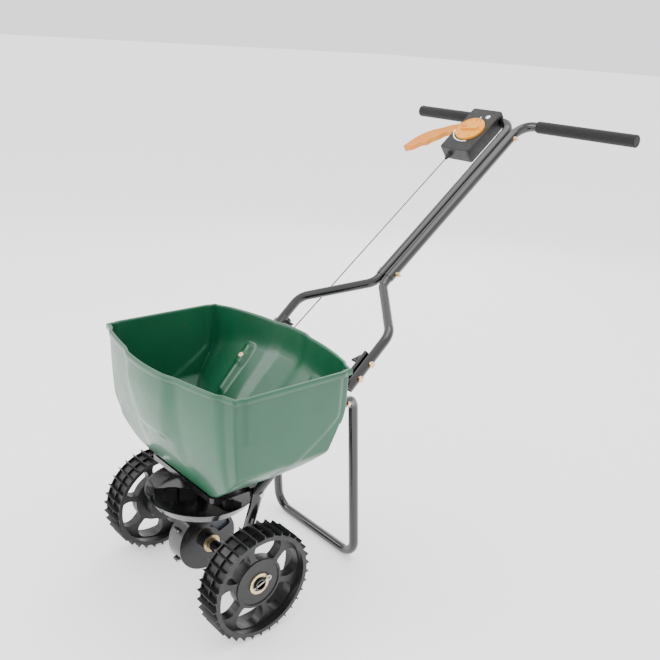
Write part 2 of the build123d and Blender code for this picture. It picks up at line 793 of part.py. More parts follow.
# ---------------------------------------------------------------- impeller
def make_impeller():
    """A dished disc with a hub and curved-lobed fins that throw the material."""
    low, high = impeller_floor_z, impeller_rim_z
    floor_radius = impeller_radius - 17
    wall = impeller_wall
    outline = make_face(
        Polyline(
            (0, low),
            (floor_radius, low),
            (impeller_radius - 2, high - 3),
            (impeller_radius, high),
            (impeller_radius - 3, high),
            (floor_radius - 2, low + wall),
            (0, low + wall),
            close=True,
        )
    )
    dish = revolve(Plane.XZ * outline, Axis.Z)
    dish += rod_between((0, 0, low - 9), (0, 0, impeller_hub_top), impeller_hub_radius)
    fin_height = high - low - 5
    for i in range(impeller_fins):
        fin = Pos(floor_radius / 2, 0, low + fin_height / 2) * Box(floor_radius - 6, 2.5, fin_height)
        lobe = Pos(floor_radius * 0.62, 0, low) * extrude(Ellipse(17, 5.5), fin_height)
        dish += Rot(0, 0, 360 / impeller_fins * i + 20) * (fin + lobe)
    dish -= rod_between((0, 0, low - 10), (0, 0, impeller_hub_top + 1), shaft_radius + running_fit)
    dish -= rod_between((-20, 0, impeller_pin_z), (20, 0, impeller_pin_z), agitator_radius + fit_gap)
    return one_solid(dish)


def make_impeller_shaft():
    shaft = rod_between((0, 0, shaft_low_z), (0, 0, agitator_z + 8), shaft_radius)
    for z in (impeller_pin_z, agitator_z):
        shaft -= rod_between((-10, 0, z), (10, 0, z), agitator_radius + fit_gap)
    return one_solid(chamfer(shaft.edges().filter_by(GeomType.CIRCLE).sort_by(Axis.Z)[-1], 1))


def make_impeller_pin():
    """The cross pin that keys the impeller to its shaft."""
    end = (impeller_hub_radius, 0, impeller_pin_z)
    return one_solid(rod_between((-end[0], 0, end[2]), end, agitator_radius))


def make_agitator():
    """A bent wire through the top of the shaft that stirs the material over the outlets."""
    inner, outer = agitator_reach - 6, agitator_reach
    low, high = agitator_z, agitator_z + 10
    path = FilletPolyline((-outer, 0, high), (-inner, 0, low), (inner, 0, low), (outer, 0, high), radius=4)
    start = Plane(origin=path @ 0, z_dir=path % 0)
    return one_solid(sweep(start * Circle(agitator_radius), path=path))


# ---------------------------------------------------------------- frame, stand and handle
def lower_point(along, x=handle_x):
    """A point measured along the lower run of the handle tube from its end."""
    return Vector(x, lower_end_y, lower_end_z) + lower_dir * along


def leg_point(y):
    """The centre of the rear run of the leg tube at a given Y."""
    start = Vector(leg_x, leg_bend_y, leg_bend_z)
    end = lower_point(bar_start, bar_x)
    return start + (end - start) * ((y - start.Y) / (end.Y - start.Y))


def bar_bolt_hole(along, x0, x1):
    """A bolt hole across the handle tube or the bar."""
    place = lower_point(along)
    return x_cylinder(bar_bolt_diameter / 2 + fit_gap, x0, x1, place.Y, place.Z)


def leg_and_bar():
    """The leg tube with its axle eye, drawn out into the flat bar that holds the handle tube."""
    knee = Vector(leg_x, leg_bend_y, leg_bend_z)
    eye = Vector(leg_x, 0, axle_z)
    start = eye + (knee - eye).normalized() * (leg_bushing_radius + 1)
    bar_from = lower_point(bar_start, bar_x)
    frame = bent_tube([start, knee, bar_from], [40], frame_tube)
    frame += x_ring(eye_radius, leg_bushing_radius + fit_gap, leg_x - eye_half, leg_x + eye_half, 0, axle_z)
    along = Plane(origin=bar_from, x_dir=(1, 0, 0), z_dir=lower_dir)
    flat = RectangleRounded(bar_thickness, bar_width, bar_thickness * 0.4)
    round_end = along * Circle(frame_tube / 2)
    frame += loft([round_end.face(), (along.offset(bar_taper) * flat).face()])
    frame += along.offset(bar_taper) * extrude(flat, bar_end - bar_start - bar_taper)
    for place in bar_bolt_places:
        frame -= bar_bolt_hole(place, bar_x - bar_thickness, handle_x)
    return frame


def hopper_bracket():
    """The angle that reaches from the leg tube to the hopper's rib."""
    place = rib_frame(1)
    half = bracket_length / 2
    low = bracket_gap
    inner, outer = -rib_width / 2, leg_point(bracket_tube_y).X - rib_x
    flange = block(inner, outer, -half, half, low, low + bracket_thickness)
    reach = bracket_reach
    web = block(outer - bracket_thickness, outer, -half, half, low, reach)
    hole = Cylinder(hopper_bolt_diameter / 2 + fit_gap, 20)
    return place * (flange + web - hole)


def stand_run():
    """End, corner and direction of the stand's short upper run."""
    end = Vector(stand_top_x, stand_end_y, stand_end_z)
    corner = Vector(stand_x, stand_bend_y, stand_bend_z)
    return end, corner, (corner - end).normalized()


def stand_spigot():
    """The solid bar that the stand's tube slides over, with the lug that joins it to the leg."""
    end, corner, along = stand_run()
    start = end + along * ((spigot_start_y - end.Y) / along.Y)
    radius = stand_tube / 2 - tube_wall - fit_gap
    spigot = rod_between(start, corner - along * stand_bend_radius * spigot_reach, radius)
    return spigot + x_cylinder(radius, bar_x, start.X, start.Y, start.Z)


def stand_bolt_line(reach):
    """Two points at the same reach outside and inside of the stand's tube, square to it."""
    end, _, along = stand_run()
    across = Vector(along.Y, -along.X, 0).normalized()
    middle = end + along * stand_bolt_place
    return middle + across * reach, middle - across * reach


def stand_bolt_hole():
    return rod_between(*stand_bolt_line(stand_tube), stand_bolt_diameter / 2 + fit_gap)


def make_side_frame():
    """Leg tube, axle eye, flattened handle bar, hopper bracket and stand spigot, welded up."""
    frame = leg_and_bar() + hopper_bracket() + stand_spigot()
    frame -= stand_bolt_hole()
    frame -= x_cylinder(hole_radius, leg_x - frame_tube, leg_x + frame_tube, ear_y, ear_z)
    return one_solid(frame)


def make_stand():
    """One U-shaped tube: two short forward runs, two legs and the foot bar."""
    z = stand_tube / 2
    points = [
        (stand_top_x, stand_end_y, stand_end_z),
        (stand_x, stand_bend_y, stand_bend_z),
        (stand_x, stand_foot_y, z),
        (-stand_x, stand_foot_y, z),
        (-stand_x, stand_bend_y, stand_bend_z),
        (-stand_top_x, stand_end_y, stand_end_z),
    ]
    radii = [stand_bend_radius, stand_foot_radius, stand_foot_radius, stand_bend_radius]
    stand = bent_tube(points, radii, stand_tube)
    hole = stand_bolt_hole()
    return one_solid(stand - hole - mirrored(hole))


def make_stand_bolts():
    tube_faces = stand_bolt_line(stand_tube / 2 + seat_gap)
    nut_faces = stand_bolt_line(stand_tube / 2 + 4)
    bolt_ends = stand_bolt_line(stand_tube / 2 + 6)
    shape = bolt(tube_faces[0], bolt_ends[1], stand_bolt_diameter, 11, 4)
    shape += hex_bar(9, tube_faces[1], nut_faces[1])
    return both_sides(one_solid(shape))


def make_leg_bushing():
    x0, x1 = leg_x - eye_half - 1, leg_x + eye_half + 1
    return one_solid(x_ring(leg_bushing_radius, axle_radius + running_fit, x0, x1, 0, axle_z))


def make_lower_handle():
    """A handle tube from the side bar up, in across the middle and into the upper tube."""
    bend = lower_point(lower_run)
    join = handlebar_plane.from_local_coords((upper_tube_x, upper_bend_s, 0))
    end = handlebar_plane.from_local_coords((upper_tube_x, plug_end_s, 0))
    tube = bent_tube([lower_point(0), bend, join, end], [45, 38], handle_tube_lower)
    for place in bar_bolt_places:
        tube -= bar_bolt_hole(place, handle_x - handle_tube_lower, handle_x + handle_tube_lower)
    tube -= through_bolt_hole(through_bolt_s[0])
    return one_solid(tube)


def through_bolt_hole(s):
    start = handlebar_plane.from_local_coords((-40, s, 0))
    end = handlebar_plane.from_local_coords((40, s, 0))
    return rod_between(start, end, through_bolt_diameter / 2 + fit_gap)


def make_upper_handle():
    """An upper handle tube with its half of the handlebar."""
    corners = [(upper_tube_x, upper_start_s, 0), (upper_tube_x, 0, 0), (handlebar_half, 0, 0)]
    points = [handlebar_plane.from_local_coords(corner) for corner in corners]
    wall = (handle_tube_upper - handle_tube_lower) / 2 - fit_gap
    tube = bent_tube(points, [handlebar_bend], handle_tube_upper, wall)
    for s in through_bolt_s:
        tube -= through_bolt_hole(s)
    return one_solid(tube)


def make_through_bolts():
    """Bolts across both upper tubes; their threads stand out on the +X side."""
    parts = []
    reach = upper_tube_x + handle_tube_upper / 2
    for s in through_bolt_s:
        start = handlebar_plane.from_local_coords((-reach, s, 0))
        end = handlebar_plane.from_local_coords((reach + through_bolt_thread, s, 0))
        parts.append(one_solid(bolt(start, end, through_bolt_diameter, 12, 4.5)))
    return Compound(children=parts)


def make_through_nuts():
    parts = []
    reach = upper_tube_x + handle_tube_upper / 2
    for s in through_bolt_s:
        start = handlebar_plane.from_local_coords((reach, s, 0))
        end = handlebar_plane.from_local_coords((reach + 6, s, 0))
        nut = hex_bar(11, start, end) - through_bolt_hole(s)
        parts.append(one_solid(nut))
    return Compound(children=parts)


def bar_bolt_end():
    """X of the handle bolts' ends, inside the wing knobs."""
    return bar_x - bar_thickness / 2 - 9


def make_handle_bolts():
    """Copper-headed bolts through each handle tube and its side bar, heads outside."""
    parts = []
    for along in bar_bolt_places:
        start = lower_point(along, handle_x + handle_tube_lower / 2)
        parts.append(one_solid(bolt(start, lower_point(along, bar_bolt_end()), bar_bolt_diameter, 15, 5)))
    return Compound(children=[*parts, *[mirrored(part) for part in parts]])


def make_wing_knobs():
    """Plastic wing nuts on the inner faces of the side bars."""
    parts = []
    base = bar_x - bar_thickness / 2 - fit_gap / 2
    for along in bar_bolt_places:
        place = lower_point(along)
        knob = x_cylinder(knob_radius, base - 8, base, place.Y, place.Z)
        wing = Box(15, knob_span, 5)
        wing = fillet(wing.edges(), 2)
        knob += Pos(base - 9, place.Y, place.Z) * Rot(knob_tilt, 0, 0) * wing
        knob -= bar_bolt_hole(along, bar_bolt_end() - 1, base + 1)
        parts.append(one_solid(knob))
    return Compound(children=[*parts, *[mirrored(part) for part in parts]])


def make_grip(start, side):
    """A foam sleeve closed at the outer end."""
    s_point = handlebar_plane.from_local_coords
    begin = s_point((side * start, 0, 0))
    end = s_point((side * (handlebar_half + grip_end_wall), 0, 0))
    sleeve = rod_between(begin, end, grip_diameter / 2)
    bore_end = s_point((side * (handlebar_half + fit_gap), 0, 0))
    bore = rod_between(begin, bore_end, handle_tube_upper / 2 + fit_gap)
    rims = sleeve.edges().filter_by(GeomType.CIRCLE)
    return one_solid(fillet(rims, 2) - bore)


# ---------------------------------------------------------------- control box
def box_shell(d0, d1, roof_at):
    """One open shell of the control box; the roof lies at the d0 or d1 side."""
    x0, x1 = box_right_x - box_width, box_right_x
    s0, s1 = box_top_s - box_length, box_top_s
    outer = block(x0, x1, s0, s1, d0, d1)
    outer = fillet(outer.edges().filter_by(Axis.Z), box_corner)
    roof_face = outer.faces().sort_by(Axis.Z)[-1 if roof_at == d1 else 0]
    outer = chamfer(roof_face.edges(), box_edge)
    wall = box_wall
    in_low = d0 - 1 if roof_at == d1 else d0 + wall
    in_high = d1 - wall if roof_at == d1 else d1 + 1
    inner = block(x0 + wall, x1 - wall, s0 + wall, s1 - wall, in_low, in_high)
    return outer - fillet(inner.edges().filter_by(Axis.Z), box_corner - wall)


def box_floor_d():
    return box_top_d - box_depth


def box_screw_places():
    x0, x1 = box_right_x - box_width, box_right_x
    s0 = box_top_s - box_length
    return [(x, s) for x in (x0 + 11, x1 - 11) for s in (s0 + 11, s0 + 30)]


def make_control_box_base():
    shell = box_shell(box_floor_d(), box_split_d - fit_gap, box_floor_d())
    cradle = handle_tube_upper / 2 + bar_gap
    shell -= Rot(0, 90, 0) * Cylinder(cradle, 2 * handlebar_half)
    shell -= block(-handlebar_half, handlebar_half, -cradle, cradle, 0, box_split_d + 1)
    left_x = box_right_x - box_width
    slot_floor = lever_plane_d - lever_thickness / 2 - 1
    shell -= block(left_x - 20, left_x + 15, lever_slot_low, lever_slot_high, slot_floor, box_split_d + 1)
    end = box_top_s - box_length
    shell -= Pos(rod_x(), end, lever_plane_d) * Rot(90, 0, 0) * Cylinder(boot_neck + fit_gap, 20)
    for x, s in box_screw_places():
        shell += Pos(x, s, 0) * pillar(5, box_floor_d() + 1, box_split_d - fit_gap)
        shell -= Pos(x, s, 0) * pillar(1.4, box_floor_d() - 5, box_split_d + 1)
    pivot = Pos(lever_pivot_x, lever_pivot_s, 0)
    shell += pivot * pillar(7, box_floor_d() + 1, lever_plane_d - lever_thickness / 2 - free_gap)
    shell -= pivot * pillar(pivot_pin_radius + fit_gap / 2, box_floor_d() + 1.5, box_split_d)
    return one_solid(handlebar_plane * shell)


def pillar(radius, d0, d1):
    return Pos(0, 0, d0) * extrude(Circle(radius), d1 - d0)


def make_control_box_cover():
    shell = box_shell(box_split_d, box_top_d, box_top_d)
    x, s = dial_centre()
    shell += Pos(x, s, 0) * pillar(dial_spindle + 4, box_top_d - box_wall - 5, box_top_d - 0.5)
    shell -= Pos(x, s, 0) * pillar(dial_spindle + running_fit, 0, box_top_d + 5)
    shell -= Pos(x, s, 0) * pillar(dial_radius + 1.5, box_top_d - dial_recess, box_top_d + 5)
    for px, ps in box_screw_places():
        shell += Pos(px, ps, 0) * pillar(5, box_split_d, box_top_d - 1)
        shell -= Pos(px, ps, 0) * pillar(1.4, box_split_d - 1, box_top_d - 5)
    return one_solid(handlebar_plane * shell)


def make_control_box_screws():
    parts = []
    for x, s in box_screw_places():
        start = handlebar_plane.from_local_coords((x, s, box_floor_d()))
        end = handlebar_plane.from_local_coords((x, s, box_split_d + 5))
        parts.append(one_solid(bolt(start, end, 2.6, 6, 2)))
    return Compound(children=parts)


def dial_centre():
    return box_right_x - box_width / 2, dial_s


def make_dial():
    """The setting dial: a disc with a raised rim, a bar to turn it by and a spindle."""
    x, s = dial_centre()
    low = box_top_d - dial_recess + free_gap
    top = low + dial_recess + dial_height
    disc = chamfer(pillar(dial_radius, low, top).edges().filter_by(GeomType.CIRCLE).sort_by(Axis.Z)[-1], 1.2)
    disc -= pillar(dial_radius - 4, top - 0.8, top + 1)
    bar = Pos(0, 0, top + dial_bar_height / 2 - 1) * Box(dial_bar_length, dial_bar_width, dial_bar_height)
    bar = fillet(bar.edges().filter_by(Axis.Z), dial_bar_width * 0.3)
    bar = fillet(bar.faces().sort_by(Axis.Z)[-1].edges(), 1.5)
    spindle = pillar(dial_spindle, box_split_d + 2, low + 1)
    body = disc + Rot(0, 0, dial_bar_turn) * bar + spindle
    body -= pillar(1.3, box_split_d, box_split_d + 9)
    return one_solid(handlebar_plane * (Pos(x, s, 0) * body))


def make_dial_screw():
    """The screw and washer that keep the spindle in the cover."""
    x, s = dial_centre()
    shape = pillar(1.2, box_split_d + 1, box_split_d + 8) + pillar(4, box_split_d, box_split_d + 1.6)
    return one_solid(handlebar_plane * (Pos(x, s, 0) * shape))


def rod_x():
    return lever_pivot_x - lever_arm * cos(radians(lever_range / 2))


def rod_top_s():
    return lever_pivot_s - lever_arm * sin(radians(lever_range / 2))


def rod_foot():
    """Where the control rod's pin crosses the shutter tab."""
    out = lever_plane_d * handlebar_plane.z_dir
    start = Vector(0, handlebar_y, handlebar_z) + out
    return Vector(rod_x(), rod_foot_y, start.Z + (rod_foot_y - start.Y) * tan(radians(handle_angle)))


def make_lever():
    """The squeeze lever: flat boss and arm inside the box, wavy finger grip outside."""
    px, ps = lever_pivot_x, lever_pivot_s
    radius = lever_boss_radius
    top_edge = Spline((px + 2, ps + radius), *lever_outer_edge)
    tip = ThreePointArc(lever_outer_edge[-1], lever_tip, lever_finger_edge[0])
    grip_edge = Spline(*lever_finger_edge, (px - 2, ps - radius))
    boss = ThreePointArc((px - 2, ps - radius), (px + radius, ps), (px + 2, ps + radius))
    outline = make_face(Wire([top_edge.edge(), tip.edge(), grip_edge.edge(), boss.edge()]))
    half = lever_thickness / 2
    body = Pos(0, 0, lever_plane_d - half) * extrude(outline, lever_thickness)
    rims = body.edges().filter_by(GeomType.BSPLINE)
    body = fillet(rims, lever_round)
    slot_low, slot_high = rod_top_s() - 40, rod_top_s() + 8
    body -= block(rod_x() - 7, rod_x() + 8, slot_low, slot_high, lever_plane_d - 2.8, lever_plane_d + 2.8)
    body -= Pos(px, ps, 0) * pillar(pivot_pin_radius + running_fit, -20, 30)
    rod_pin = Pos(rod_x(), rod_top_s(), lever_plane_d)
    body -= rod_pin * pillar(rod_pin_radius + fit_gap, -5, 5)
    return one_solid(handlebar_plane * body)


def make_lever_rod_pin():
    """The short pin in the lever that the control rod hangs on."""
    pin = Pos(rod_x(), rod_top_s(), 0) * pillar(rod_pin_radius, lever_plane_d - 4.8, lever_plane_d + 4.8)
    return one_solid(handlebar_plane * pin)


def make_lever_pivot_pin():
    pin = Pos(lever_pivot_x, lever_pivot_s, 0) * pillar(pivot_pin_radius, box_floor_d() + 2, box_split_d + 4)
    return one_solid(handlebar_plane * pin)


def make_control_rod():
    """A straight wire with an eye at the lever and a bent foot in the shutter tab."""
    foot = rod_foot()
    top = handlebar_plane.from_local_coords((rod_x(), rod_top_s() - rod_eye_radius + 1, lever_plane_d))
    path = FilletPolyline(Vector(tab_x + 4, foot.Y, foot.Z), foot, top, radius=[4])
    wire = sweep(Plane(origin=path @ 0, z_dir=path % 0) * Circle(control_rod_diameter / 2), path=path)
    eye = pillar(rod_eye_radius, lever_plane_d - 2, lever_plane_d + 2)
    wire += handlebar_plane * (Pos(rod_x(), rod_top_s(), 0) * eye)
    hole = pillar(rod_pin_radius + free_gap, -10, 20)
    return one_solid(wire - handlebar_plane * (Pos(rod_x(), rod_top_s(), 0) * hole))


def make_cable_boot():
    """A rubber boot where the rod leaves the box."""
    end = box_top_s - box_length
    bore = control_rod_diameter / 2 + free_gap
    profile = make_face(
        Polyline(
            (bore, 4),
            (boot_neck + 2, 4),
            (boot_neck + 2, box_wall + 0.2),
            (boot_neck, box_wall + 0.2),
            (boot_neck, 0),
            (boot_neck + 2.5, -0.2),
            (boot_neck + 1.5, -6),
            (bore + 1.6, -boot_length),
            (bore, -boot_length),
            close=True,
        )
    )
    solid = revolve(profile, Axis.Y)
    return one_solid(handlebar_plane * (Pos(rod_x(), end, lever_plane_d) * solid))


# ---------------------------------------------------------------- export
def build_parts():
    wheel = make_wheel()
    outer_ring, inner_ring = make_wheel_rings()
    bushing = make_leg_bushing()
    frame_left = make_side_frame()
    lower_left = make_lower_handle()
    upper_left = make_upper_handle()
    return {
        "hopper": make_finished_hopper(),
        "hopper_bolts": make_hopper_bolts(),
        "hopper_base": make_hopper_base(),
        "base_bolts": make_base_bolts(),
        "shaft_bushing": make_shaft_bushing(),
        "shutter": make_shutter(),
        "drive_wheel": wheel,
        "idle_wheel": mirrored(wheel),
        "drive_wheel_rings": Compound(children=[outer_ring, inner_ring]),
        "idle_wheel_rings": Compound(children=[mirrored(outer_ring), mirrored(inner_ring)]),
        "axle": make_axle(),
        "cotter_pins": make_cotter_pins(),
        "leg_bushings": Compound(children=[bushing, mirrored(bushing)]),
        "drive_gear": make_drive_gear(),
        "pinion": make_pinion(),
        "gearbox_left": make_gearbox_left(),
        "gearbox_right": make_gearbox_right(),
        "gearbox_screws": make_gearbox_screws(),
        "gearbox_rings": make_gearbox_rings(),
        "impeller": make_impeller(),
        "impeller_shaft": make_impeller_shaft(),
        "impeller_pin": make_impeller_pin(),
        "agitator": make_agitator(),
        "side_frame_left": frame_left,
        "side_frame_right": mirrored(frame_left),
        "stand": make_stand(),
        "stand_bolts": make_stand_bolts(),
        "lower_handle_left": lower_left,
        "lower_handle_right": mirrored(lower_left),
        "upper_handle_left": upper_left,
        "upper_handle_right": mirrored(upper_left),
        "through_bolts": make_through_bolts(),
        "through_nuts": make_through_nuts(),
        "handle_bolts": make_handle_bolts(),
        "wing_knobs": make_wing_knobs(),
        "grip_left": make_grip(grip_start_right, 1),
        "grip_right": make_grip(grip_start_left, -1),
        "control_box_base": make_control_box_base(),
        "control_box_cover": make_control_box_cover(),
        "control_box_screws": make_control_box_screws(),
        "dial": make_dial(),
        "dial_screw": make_dial_screw(),
        "lever": make_lever(),
        "lever_pivot_pin": make_lever_pivot_pin(),
        "lever_rod_pin": make_lever_rod_pin(),
        "control_rod": make_control_rod(),
        "cable_boot": make_cable_boot(),
    }


def main():
    parts = build_parts()
    boxes = [part.bounding_box() for part in parts.values()]
    origin_y = (min(box.min.Y for box in boxes) + max(box.max.Y for box in boxes)) / 2
    os.makedirs("parts", exist_ok=True)
    for name, part in parts.items():
        export_step(Pos(0, -origin_y, 0) * part, f"parts/{name}.step")
    print(f"origin moved by {origin_y:.3f} mm along Y")


main()
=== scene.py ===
import json
import math

import bmesh
import bpy
from mathutils import Matrix, Vector


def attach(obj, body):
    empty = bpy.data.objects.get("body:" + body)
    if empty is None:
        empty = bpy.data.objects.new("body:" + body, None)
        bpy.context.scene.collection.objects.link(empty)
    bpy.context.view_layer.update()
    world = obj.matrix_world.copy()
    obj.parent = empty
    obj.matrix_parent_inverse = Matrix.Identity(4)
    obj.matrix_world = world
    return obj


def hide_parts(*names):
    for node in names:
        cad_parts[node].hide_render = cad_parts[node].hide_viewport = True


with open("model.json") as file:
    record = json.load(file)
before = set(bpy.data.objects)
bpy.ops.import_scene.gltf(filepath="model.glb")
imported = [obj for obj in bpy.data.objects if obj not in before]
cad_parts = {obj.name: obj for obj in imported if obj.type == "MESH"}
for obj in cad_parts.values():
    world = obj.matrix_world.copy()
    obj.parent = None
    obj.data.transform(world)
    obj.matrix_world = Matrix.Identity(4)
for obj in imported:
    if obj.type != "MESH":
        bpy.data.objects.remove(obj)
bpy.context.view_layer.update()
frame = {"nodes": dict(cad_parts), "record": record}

# ---------------------------------------------------------------- driving values, in metres
MM = 0.001
AXLE_Y = -0.411377              # the wheel axle's place in the shared frame
HANDLEBAR = Vector((0.0, AXLE_Y + 0.946, 0.988))
HANDLE_ANGLE = math.radians(38.2)
WALL = 0.003
RIM_Z = 0.558
FLOOR_Z = 0.290
HALF_WIDTH = 0.238
LEVEL_HALF = 0.105              # half width of the level part of the floor
FLOOR_RISE = 0.104
FLOOR_BEND = 1.2
FLOOR_CORNER = 1.15
HOPPER_SKIN_SIDE = -1.0         # the sheet is modelled on its inner side and thickened outwards
SKIRT = 0.012
LIP = 0.005
RIB_X = 0.118

CAMERA_PLACE = Vector((1.3219, -0.8584 + AXLE_Y, 1.1672))
CAMERA_AZIMUTH = math.radians(47.79)
CAMERA_ELEVATION = math.radians(19.47)
CAMERA_ROLL = math.radians(3.79)
CAMERA_LENS = 44.92


# ---------------------------------------------------------------- materials
def new_material(name):
    material = bpy.data.materials.new(name)
    material.use_nodes = True
    return material, material.node_tree.nodes, material.node_tree.links


def speckle(nodes, links, scale, detail=3.0):
    """A noise pattern fixed to the object's own place."""
    coords = nodes.new("ShaderNodeTexCoord")
    noise = nodes.new("ShaderNodeTexNoise")
    noise.inputs["Scale"].default_value = scale
    noise.inputs["Detail"].default_value = detail
    links.new(coords.outputs["Object"], noise.inputs["Vector"])
    return noise


def ramp(nodes, links, source, stops):
    """A colour or grey ramp driven by a factor."""
    node = nodes.new("ShaderNodeValToRGB")
    elements = node.color_ramp.elements
    while len(elements) < len(stops):
        elements.new(0.5)
    for element, (place, colour) in zip(elements, stops):
        element.position = place
        element.color = (*colour, 1.0)
    links.new(source, node.inputs["Fac"])
    return node


def surface(name, dark, light, rough, metallic=0.0, colour_scale=14.0, grain_scale=900.0, grain=0.08,
            coat=0.0, rough_spread=0.08, specular=0.5):
    """A painted, plated or moulded surface: slow colour drift, uneven gloss and a fine grain."""
    material, nodes, links = new_material(name)
    shader = nodes["Principled BSDF"]
    shader.inputs["Metallic"].default_value = metallic
    shader.inputs["Coat Weight"].default_value = coat
    shader.inputs["Coat Roughness"].default_value = 0.08
    shader.inputs["Specular IOR Level"].default_value = specular
    drift = speckle(nodes, links, colour_scale)
    colours = ramp(nodes, links, drift.outputs["Fac"], [(0.3, dark), (0.7, light)])
    links.new(colours.outputs["Color"], shader.inputs["Base Color"])
    wear = speckle(nodes, links, colour_scale * 5, 6.0)
    low, high = rough - rough_spread, rough + rough_spread
    gloss = ramp(nodes, links, wear.outputs["Fac"], [(0.25, (low,) * 3), (0.75, (high,) * 3)])
    links.new(gloss.outputs["Color"], shader.inputs["Roughness"])
    fine = speckle(nodes, links, grain_scale, 2.0)
    bump = nodes.new("ShaderNodeBump")
    bump.inputs["Strength"].default_value = grain
    bump.inputs["Distance"].default_value = 0.0004
    links.new(fine.outputs["Fac"], bump.inputs["Height"])
    links.new(bump.outputs["Normal"], shader.inputs["Normal"])
    return material


def foam_material():
    """Closed-cell foam: matt black with small pores."""
    material, nodes, links = new_material("foam_rubber")
    shader = nodes["Principled BSDF"]
    shader.inputs["Roughness"].default_value = 0.92
    shader.inputs["Specular IOR Level"].default_value = 0.25
    shader.inputs["Sheen Weight"].default_value = 0.15
    coords = nodes.new("ShaderNodeTexCoord")
    pores = nodes.new("ShaderNodeTexVoronoi")
    pores.inputs["Scale"].default_value = 520.0
    links.new(coords.outputs["Object"], pores.inputs["Vector"])
    stops = [(0.1, (0.004, 0.004, 0.004)), (0.6, (0.017, 0.017, 0.018))]
    colours = ramp(nodes, links, pores.outputs["Distance"], stops)
    links.new(colours.outputs["Color"], shader.inputs["Base Color"])
    bump = nodes.new("ShaderNodeBump")
    bump.inputs["Strength"].default_value = 0.5
    bump.inputs["Distance"].default_value = 0.0005
    links.new(pores.outputs["Distance"], bump.inputs["Height"])
    links.new(bump.outputs["Normal"], shader.inputs["Normal"])
    return material


MATERIALS = {
    "hopper_green": surface("hopper_green", (0.002, 0.074, 0.030), (0.003, 0.094, 0.039), 0.38, coat=0.25,
                            colour_scale=7.0, grain_scale=700.0, grain=0.06, rough_spread=0.05),
    "black_plastic": surface("black_plastic", (0.005, 0.005, 0.005), (0.011, 0.011, 0.011), 0.42, grain=0.14,
                             grain_scale=600.0),
    "gloss_black_plastic": surface("gloss_black_plastic", (0.003, 0.003, 0.003), (0.007, 0.007, 0.008), 0.18,
                                   coat=0.3, rough_spread=0.06),
    "black_steel": surface("black_steel", (0.002, 0.002, 0.003), (0.005, 0.005, 0.006), 0.18, coat=0.6,
                           grain_scale=350.0, grain=0.05, rough_spread=0.05),
    "zinc_steel": surface("zinc_steel", (0.50, 0.49, 0.46), (0.68, 0.67, 0.64), 0.33, metallic=1.0,
                          colour_scale=120.0),
    "yellow_zinc": surface("yellow_zinc", (0.62, 0.44, 0.20), (0.88, 0.76, 0.50), 0.28, metallic=1.0,
                           colour_scale=90.0),
    "copper_bolt": surface("copper_bolt", (0.72, 0.36, 0.20), (0.95, 0.66, 0.47), 0.30, metallic=1.0,
                           colour_scale=110.0),
    "foam": foam_material(),
    "orange_plastic": surface("orange_plastic", (0.62, 0.19, 0.003), (0.72, 0.25, 0.006), 0.36, coat=0.15,
                              colour_scale=30.0),
    "dial_plastic": surface("dial_plastic", (0.78, 0.29, 0.008), (0.88, 0.36, 0.014), 0.40,
                            colour_scale=30.0),
    "dial_bar_plastic": surface("dial_bar_plastic", (0.60, 0.15, 0.004), (0.68, 0.19, 0.006), 0.42,
                                colour_scale=40.0),
    "gear_nylon": surface("gear_nylon", (0.050, 0.060, 0.085), (0.085, 0.098, 0.130), 0.38,
                          colour_scale=60.0),
    "bush_nylon": surface("bush_nylon", (0.40, 0.40, 0.37), (0.50, 0.50, 0.47), 0.45, colour_scale=80.0),
    "rubber": surface("rubber", (0.008, 0.008, 0.008), (0.016, 0.016, 0.016), 0.7, grain=0.2),
    "box_plastic": surface("box_plastic", (0.006, 0.006, 0.007), (0.012, 0.012, 0.013), 0.50, grain=0.3,
                           grain_scale=1400.0),
    "white_print": surface("white_print", (0.78, 0.78, 0.77), (0.86, 0.86, 0.85), 0.55, colour_scale=200.0),
}


def dress_cad_nodes():
    """Every node that keeps its own shape takes the material of its slot."""
    for row in frame["record"]["subparts"]:
        node = frame["nodes"][row["node"]]
        name = "box_plastic" if row["node"].startswith("control_box") else row["material_slot"]
        node.data.materials.clear()
        node.data.materials.append(MATERIALS[name])


# ---------------------------------------------------------------- mesh helpers
def make_piece(name, mesh, material, body):
    piece = bpy.data.objects.new(name, mesh)
    bpy.context.collection.objects.link(piece)
    mesh.materials.append(MATERIALS[material])
    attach(piece, body)
    return piece


def smooth_step(low, high, value):
    share = min(1.0, max(0.0, (value - low) / (high - low)))
    return share * share * (3 - 2 * share)


def bump_between(centre, half, soft, value):
    """1 inside centre ± half, falling softly to 0 outside."""
    return 1 - smooth_step(half, half + soft, abs(value - centre))


# ---------------------------------------------------------------- hopper
def rim_front(x):
    """The front rim in plan: a bow with two pairs of soft steps."""
    share = abs(x) / HALF_WIDTH
    bow = -0.133 + 0.043 * share ** 1.6
    centre = -0.006 * (1 - smooth_step(0.063, 0.100, abs(x)))
    corner = 0.006 * smooth_step(0.198, 0.214, abs(x))
    return bow + centre + corner - 0.004 * share


def rim_back(x):
    """The back rim in plan: a bow with a shallow step each side of the middle."""
    share = abs(x) / HALF_WIDTH
    bow = 0.233 - 0.046 * share ** 2.2
    centre = 0.007 * (1 - smooth_step(0.030, 0.062, abs(x)))
    corner = -0.004 * smooth_step(0.200, 0.222, abs(x))
    return bow + centre + corner


def half_width(z):
    height = min(1.0, max(0.0, (z - (FLOOR_Z - WALL)) / FLOOR_RISE))
    share = (1 - (1 - height) ** FLOOR_CORNER) ** (1 / FLOOR_BEND)
    return LEVEL_HALF + (HALF_WIDTH - LEVEL_HALF) * share


def side_share(x):
    return (abs(x) / HALF_WIDTH) ** 2.5


